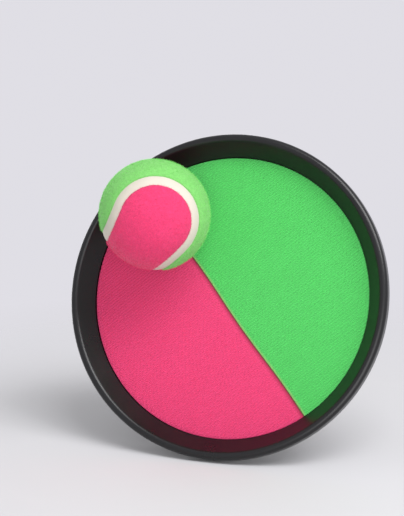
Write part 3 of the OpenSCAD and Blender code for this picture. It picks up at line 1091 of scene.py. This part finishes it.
def fibre_shape(material):
    """A tapering fibre with a bend."""
    path = [Vector(spot) for spot in ((0, -0.1 * MM), (0.08 * MM, 0.35 * MM), (0.32 * MM, 0.72 * MM))]
    return repeat_shape("fibre_shape", path, radii=[0.05 * MM, 0.042 * MM, 0], sides=3, material=material)


def make_ball():
    """Two felt panels with their nap, and the seam strip between them."""
    sphere = unit_sphere()
    for name, side, colour in (("pink", 1, FELT_PINK), ("green", -1, FELT_GREEN)):
        panel = make_felt(f"ball_{name}_panel", side, sphere, felt(f"{name}_felt", colour))
        # The tip colour is paler: painted light on the fibres' tips.
        material = pile(f"{name}_nap", scaled(colour, 0.92), scaled(colour, 1.3), roughness=0.7)
        nap = make_nap(f"ball_{name}_nap", panel, fibre_shape(material), material, NAP_SEED + side)
        settle(panel, "ball", f"{name}_felt", f"ball_{name}_felt")
        settle(nap, "ball", f"{name}_felt")
    points, triangles = sphere
    half = (FELT_MARGIN + SEAM_LAP) / BALL_R
    chosen, faces = cut_sphere(points, triangles, half - np.abs(seam_distance(points)))
    crown = 1 - (seam_distance(chosen) / half) ** 2
    lumps = SEAM_LUMPS * noise_over(chosen, scale=40, offset=1.0)
    outer = BALL_R - SEAM_SINK - SEAM_CROWN + SEAM_CROWN * crown + lumps
    strip = make_shell("ball_seam_strip", chosen, faces, outer, FELT_IN_R, seam_rubber())
    settle(strip, "ball", "seam_rubber", "ball_seam")


# Hand strap: side is 1 for the outer strap, on the right bar, and -1 for the inner one


LAP_T = WEBBING_T + 2 * SEW_GAP + 2 * PATCH_T + LAP_GAP
ARCH_DROP = PLY_GAP / 2 + WEBBING_T + HAND_ROOM - BAR_Y


def arch_radius():
    """Radius of the inner strap's arch, through both bars with a lap's thickness between the halves."""
    slope = LAP_T / (2 * BAR_X)
    reach = BAR_X - LAP_T ** 2 / (4 * BAR_X)
    linear = reach * slope + ARCH_DROP
    constant = reach ** 2 + ARCH_DROP ** 2
    # The smaller root of (slope r) ** 2 - 2 linear r + constant = 0
    return constant / (linear + math.sqrt(linear ** 2 - slope ** 2 * constant))


INNER_R = arch_radius()
OUTER_R = INNER_R + LAP_T
ARCH_CENTRE = Vector((-(OUTER_R ** 2 - INNER_R ** 2) / (4 * BAR_X), BAR_Y - INNER_R + ARCH_DROP))


def on_arch(radius, angle):
    """Point of the arch in the xy plane."""
    return ARCH_CENTRE + radius * Vector((math.sin(angle), math.cos(angle)))


def bar_radius(side):
    return OUTER_R if side > 0 else INNER_R


def ply_radius(side, is_tail):
    """Radius of the middle of a ply: the main ply lies on the hand's side of the tail."""
    return bar_radius(side) + (1 if is_tail else -1) * (PLY_GAP + WEBBING_T) / 2


def fold_angle(side):
    """Angle at which a strap leaves the arch for its bar."""
    bar = math.atan2(BAR_X - side * ARCH_CENTRE.x, BAR_Y - ARCH_CENTRE.y)
    return bar - FOLD_L / bar_radius(side)


def touch(start, centre, radius, turn_side):
    """Where a straight line from a point touches a circle."""
    run = centre - start
    angle = math.atan2(run.y, run.x) + turn_side * math.asin(radius / run.length)
    return start + math.sqrt(run.length_squared - radius ** 2) * Vector((math.cos(angle), math.sin(angle)))


def spaced(points, step):
    """The same path in even steps."""
    points = np.array(points)
    lengths = np.concatenate([[0], np.cumsum(np.linalg.norm(np.diff(points, axis=0), axis=1))])
    count = int(round(lengths[-1] / step))
    at = np.linspace(0, lengths[-1], count + 1)
    return np.stack([np.interp(at, lengths, points[:, k]) for k in range(2)], 1), at


def arch_run(radius, start, end):
    return [on_arch(radius, start + (end - start) * i / ARCH_STEPS) for i in range(ARCH_STEPS + 1)]


def strap_path(side, free_angle):
    """Middle of the webbing: from its free end over the arch, round the bar and back along its tail."""
    bar = Vector((side * BAR_X, BAR_Y))
    loop_r = BAR_R + BAR_CLEAR + WEBBING_T / 2
    fold = side * fold_angle(side)
    main_r, tail_r = ply_radius(side, False), ply_radius(side, True)
    inner = touch(on_arch(main_r, fold), bar, loop_r, -side)
    outer = touch(on_arch(tail_r, fold), bar, loop_r, side)
    start, end = (math.atan2(p.y - bar.y, p.x - bar.x) for p in (inner, outer))
    while side * (end - start) < 0:
        end += side * TURN
    loop = arc(bar, loop_r, start, end, LOOP_STEPS)
    tail_end = fold - side * TAIL_L / tail_r
    return arch_run(main_r, free_angle, fold) + loop + arch_run(tail_r, fold, tail_end)


def make_band(name, path, width, thick, material, relief, cords, end_round=0.0):
    """A flat woven band along a path, with the relief of its cords and round corners at its free end."""
    spots, at = spaced(path, BAND_STEP)
    ahead = unit(np.gradient(spots, axis=0))
    normals = np.stack([-ahead[:, 1], ahead[:, 0]], 1)
    across = cords * CORD_POINTS
    half = width / 2
    weave = width / cords * CORD_WEAVE
    vertices, crest, cord_at, run = [], [], [], []
    for i, (spot, normal) in enumerate(zip(spots, normals)):
        short = max(end_round - at[i], 0)
        reach = half - end_round + math.sqrt(max(end_round ** 2 - short ** 2, 0)) if end_round else half
        for face in (1, -1):
            for k in range(across + 1):
                w = face * (2 * k / across - 1) * reach
                inset = min((reach - abs(w)) / BAND_EDGE, 1)
                rounded = math.sqrt(1 - (1 - inset) ** 2)
                body = thick / 2 * (BAND_EDGE_SHARE + (1 - BAND_EDGE_SHARE) * rounded) - relief
                cord = (w + half) / width * cords
                phase = math.pi * (int(cord) % 2)
                swell = 1 - CORD_SWELL + CORD_SWELL * math.cos(TURN * at[i] / weave + phase)
                lump = math.sin(math.pi * (cord % 1)) * swell
                lift = face * (body + relief * lump)
                vertices.append((spot[0] + normal[0] * lift, spot[1] + normal[1] * lift, w))
                crest.append(lump)
                cord_at.append(cord)
                run.append(at[i])
    ring = 2 * (across + 1)
    faces = strip_faces(len(spots), ring)
    for start in (0, (len(spots) - 1) * ring):
        for k in range(across):
            faces.append((start + k, start + k + 1, start + ring - 2 - k, start + ring - 1 - k))
    piece = make_piece(name, vertices, faces, material, smooth_angle=55)
    for key, values in (("crest", crest), ("cord", cord_at), ("run", run)):
        mark(piece, key, values)
    return piece, at[-1]


def arch_places(radius, angles, heights, out_side, along_arch=True):
    """Points on the arch with their out and along directions."""
    places = []
    for angle in angles:
        spot = on_arch(radius, angle)
        out = out_side * Vector((math.sin(angle), math.cos(angle), 0))
        ahead = Vector((math.cos(angle), -math.sin(angle), 0)) if along_arch else Vector((0, 0, 1))
        places += [((spot.x, spot.y, up), out, ahead) for up in heights]
    return places


def row_steps(length, pitch, size):
    """Even steps about the middle of a row, as many as fit where each takes up a size."""
    rounding = 1e-6
    count = int((length - size) / pitch + rounding) + 1
    return [(i - (count - 1) / 2) * pitch for i in range(count)]


def fold_stitches(side):
    """Box of stitches through the tail and the main ply."""
    radius = ply_radius(side, True) + WEBBING_T / 2
    seat = radius + SEW_GAP
    start = fold_angle(side) - STITCH_INSET / seat
    end = fold_angle(side) - (TAIL_L - STITCH_INSET) / seat
    width = STRAP_W - 2 * STITCH_INSET
    steps = row_steps(width - STITCH_PITCH, STITCH_PITCH, STITCH_L)
    places = arch_places(radius, [side * start, side * end], steps, 1, along_arch=False)
    middle = side * (start + end) / 2
    side_steps = row_steps(TAIL_L - 2 * STITCH_INSET, STITCH_PITCH, STITCH_L)
    angles = [middle + step / seat for step in side_steps]
    return places + arch_places(radius, angles, [-width / 2, width / 2], 1)


def patch_stitches(radius, out_side):
    """Two rows of stitches along a patch, seen on the webbing's other face."""
    angles = [step / radius for step in row_steps(PATCH_L - 2 * SEW_GAP, STITCH_PITCH, STITCH_L)]
    heights = [side * (STRAP_W / 2 - STITCH_INSET) for side in (-1, 1)]
    return arch_places(radius, angles, heights, out_side)


def stitch_shape(material):
    """One stitch: a bowed thread whose ends go down into the webbing."""
    path = []
    for i in range(STITCH_POINTS):
        t = 2 * i / (STITCH_POINTS - 1) - 1
        path.append(Vector((t * STITCH_L / 2, STITCH_LIFT - STITCH_DIVE * t ** 4)))
    return repeat_shape("stitch_shape", path, [THREAD_R] * STITCH_POINTS, sides=6, material=material)


def loop_shape(material, height):
    """A small loop of yarn."""
    path = [height * Vector((0.45 * math.cos(a), math.sin(a))) for a in np.linspace(0, math.pi, 5)]
    return repeat_shape("loop_shape", path, radii=[0.075 * MM] * 5, sides=3, material=material)


def make_patch(name, body, radius, out_side, tint, shape_maker):
    """Hook or loop patch on a strap: a woven ground with its pile."""
    ground_t = PATCH_T - PATCH_PILE_H
    middle = radius + out_side * ground_t / 2
    half_angle = PATCH_L / 2 / middle
    path = arch_run(middle, -half_angle, half_angle)
    woven = tape(f"{name}_ground", tint)
    ground, length = make_band(f"{name}_ground", path, PATCH_W, ground_t, woven, relief=0.05 * MM, cords=14)
    # The tip colour is paler: painted light on the tips of the pile.
    material = pile(f"{name}_pile", scaled(tint, 0.8), scaled(tint, 2.4), roughness=0.5)
    seat = radius + out_side * (ground_t - PILE_SEAT)
    angles = [step / seat for step in row_steps(PATCH_L - PATCH_BORDER, PATCH_PITCH, PATCH_PITCH)]
    heights = row_steps(PATCH_W - PATCH_BORDER, PATCH_PITCH, PATCH_PITCH)
    places = arch_places(seat, angles, heights, out_side)
    shape = shape_maker(material, PATCH_PILE_H)
    tufts = repeat_on(f"{name}_pile", places, shape, material, lean=0.3, spread=0.15, seed=PATCH_SEED)
    slot = name.replace("patch", "tape")
    settle(ground, body, slot, name)
    settle(tufts, body, slot)


def make_strap():
    """Both halves of the strap, with their stitches and patches."""
    yarn, cotton = webbing(), thread()
    ends = {1: -(PATCH_L / 2 + TAB_L) / OUTER_R, -1: (PATCH_L / 2 + END_L) / INNER_R}
    half = WEBBING_T / 2
    outer_main, inner_main = ply_radius(1, False), ply_radius(-1, False)
    patch_rows = {
        1: ("hook_patch_stitches", patch_stitches(outer_main + half, 1)),
        -1: ("loop_patch_stitches", patch_stitches(inner_main - half, -1)),
    }
    for side, name, corner in ((1, "outer_strap", TAB_CORNER_R), (-1, "inner_strap", END_CORNER_R)):
        path = strap_path(side, ends[side])
        band, length = make_band(f"{name}_webbing", path, STRAP_W, WEBBING_T, yarn,
                                 relief=0.11 * MM, cords=16, end_round=corner)
        settle(band, name, "webbing", name)
        for node, places in ((f"{name}_stitches", fold_stitches(side)), patch_rows[side]):
            rows = repeat_on(f"{node}_thread", places, stitch_shape(cotton), cotton,
                             lean=0.03, spread=0.04, seed=STITCH_SEED)
            settle(rows, name, "thread", node)
    make_patch("hook_patch", "outer_strap", outer_main - half - SEW_GAP, -1, HOOK_TAPE, hook_shape)
    make_patch("loop_patch", "inner_strap", inner_main + half + SEW_GAP, 1, LOOP_TAPE, loop_shape)


# Stage


CAMERA_AZIMUTH = math.radians(16.45)
CAMERA_ELEVATION = math.radians(-8.56)
CAMERA_DISTANCE = 0.95
CAMERA_TARGET = Vector((-18.7 * MM, -0.5 * MM, 24.4 * MM))
CAMERA_LENS = 114.6
CAMERA_SENSOR = 36
FLOOR_TILT = math.radians(12)
FLOOR_REACH = 1.5
FADE_START = 0.15
FADE_W = 0.22
AMBIENT = 0.58

TO_CAMERA = Vector((
    math.sin(CAMERA_AZIMUTH) * math.cos(CAMERA_ELEVATION),
    -math.cos(CAMERA_AZIMUTH) * math.cos(CAMERA_ELEVATION),
    math.sin(CAMERA_ELEVATION),
))
CAMERA_RIGHT = Vector((math.cos(CAMERA_AZIMUTH), math.sin(CAMERA_AZIMUTH), 0))
CAMERA_UP = TO_CAMERA.cross(CAMERA_RIGHT)
FLOOR_UP = CAMERA_UP * math.cos(FLOOR_TILT) + TO_CAMERA * math.sin(FLOOR_TILT)


def make_camera():
    camera = add_object("camera", bpy.data.cameras.new("camera"))
    camera.data.lens = CAMERA_LENS
    camera.data.sensor_width = CAMERA_SENSOR
    axes = Matrix((CAMERA_RIGHT, CAMERA_UP, TO_CAMERA)).transposed().to_4x4()
    camera.matrix_world = Matrix.Translation(CAMERA_TARGET + TO_CAMERA * CAMERA_DISTANCE) @ axes
    scene.camera = camera


def make_floor(dish):
    """Pale floor under the rim, tilted as the leaning paddle stands on it, fading into the backdrop."""
    middle = FLOOR_UP * min(FLOOR_UP.dot(v.co) for v in dish.data.vertices)
    across = CAMERA_RIGHT * FLOOR_REACH
    ahead = FLOOR_UP.cross(across)
    corners = [middle + across * x + ahead * y for x, y in ((-1, -1), (1, -1), (1, 1), (-1, 1))]
    mesh = bpy.data.meshes.new("floor")
    mesh.from_pydata(corners, [], [(0, 1, 2, 3)])
    floor = add_object("floor", mesh)
    finish = Finish("pale_floor", gloss=0.0)
    mesh.materials.append(finish.paint(rgba(FLOOR_GREY), roughness=0.9))
    away = vector_math(finish, "DISTANCE", finish.place, tuple(middle)).other("Value")
    fade = finish.clip((away - FADE_START) / FADE_W)
    below = finish.add("ShaderNodeNewGeometry", output="Backfacing")
    gone = finish.calculate("MAXIMUM", fade, below)
    clear = finish.add("ShaderNodeBsdfTransparent")
    solid = Socket(finish, finish.shader.outputs["BSDF"])
    shown = finish.add("ShaderNodeMixShader", {}, {0: gone, 1: solid, 2: clear})
    finish.feed(finish.tree.nodes["Material Output"].inputs["Surface"], shown)


def make_lamp(name, up, near, right, distance, size, power):
    """Soft square lamp that looks at the object, from so far up, near the camera and to its right."""
    lamp = add_object(name, bpy.data.lights.new(name, "AREA"))
    lamp.data.shape = "SQUARE"
    lamp.data.size = size
    lamp.data.energy = power
    aim = (FLOOR_UP * up + TO_CAMERA * near + CAMERA_RIGHT * right).normalized()
    lamp.location = CAMERA_TARGET + aim * distance
    lamp.rotation_mode = "QUATERNION"
    lamp.rotation_quaternion = aim.to_track_quat("Z", "Y")
    lamp.visible_camera = False


def make_light():
    """Four soft lamps, even light from all sides, and a backdrop that is only seen or mirrored."""
    make_lamp("side", up=1.3, near=1, right=1.1, distance=1.4, size=0.65, power=9.6)
    make_lamp("top", up=0.85, near=0.6, right=0.2, distance=1.2, size=0.5, power=5.2)
    make_lamp("fill", up=-0.25, near=1, right=0.1, distance=1.3, size=1.0, power=8.2)
    make_lamp("back", up=0.1, near=-1, right=-0.35, distance=1.3, size=1.2, power=12)
    world = bpy.data.worlds.new("backdrop")
    world.use_nodes = True
    scene.world = world
    tree = Tree(world.node_tree)
    path = tree.add("ShaderNodeLightPath", output="Is Camera Ray")
    seen = path
    for name in ("Is Glossy Ray", "Is Transmission Ray"):
        seen = tree.calculate("MAXIMUM", seen, path.other(name))
    ambient = tree.add("ShaderNodeBackground", {}, {"Color": (1, 1, 1, 1), "Strength": AMBIENT})
    shown = tree.add("ShaderNodeBackground", {}, {"Color": rgba(BACKDROP), "Strength": 1.0})
    mixed = tree.add("ShaderNodeMixShader", {}, {0: seen, 1: ambient, 2: shown})
    tree.feed(world.node_tree.nodes["World Output"].inputs["Surface"], mixed)


def finish_cad_nodes():
    """Materials of the inner pieces that keep their CAD shape."""
    finishes = {
        "face_board": hardboard(),
        "board_glue": adhesive("glue_bead", (0.62, 0.52, 0.3), (0.5, 0.36, 0.16)),
        "ball_core_upper": core_rubber(),
    }
    finishes["ball_core_lower"] = finishes["ball_core_upper"]
    for node, material in finishes.items():
        slots = frame["nodes"][node].data.materials
        slots.clear()
        slots.append(material)


make_camera()
dish = make_dish(black_plastic())
# Pink side of the joint: painted shadow cast by the raised green fabric.
pink_fabric = hook_fabric(
    "pink_ground", PINK, dark=0.64, edge=(0.22, 0.014, 0.028), painted_light_share=0.85, painted_light_w=3.2 * MM)
make_face("pink", -1, PINK, pink_fabric)
# Green side of the joint: a paler olive cut edge, partly a painted highlight on its rounding.
green_fabric = hook_fabric(
    "green_ground", GREEN, dark=0.53, edge=(0.29, 0.58, 0.17), painted_light_share=1.3, painted_light_w=1.4 * MM)
make_face("green", 1, GREEN, green_fabric)
film_finish = adhesive("adhesive_film", (0.75, 0.7, 0.55), (0.6, 0.54, 0.38))
make_film("pink", -1, film_finish)
make_film("green", 1, film_finish)
make_ball()
make_strap()
finish_cad_nodes()
make_floor(dish)
make_light()
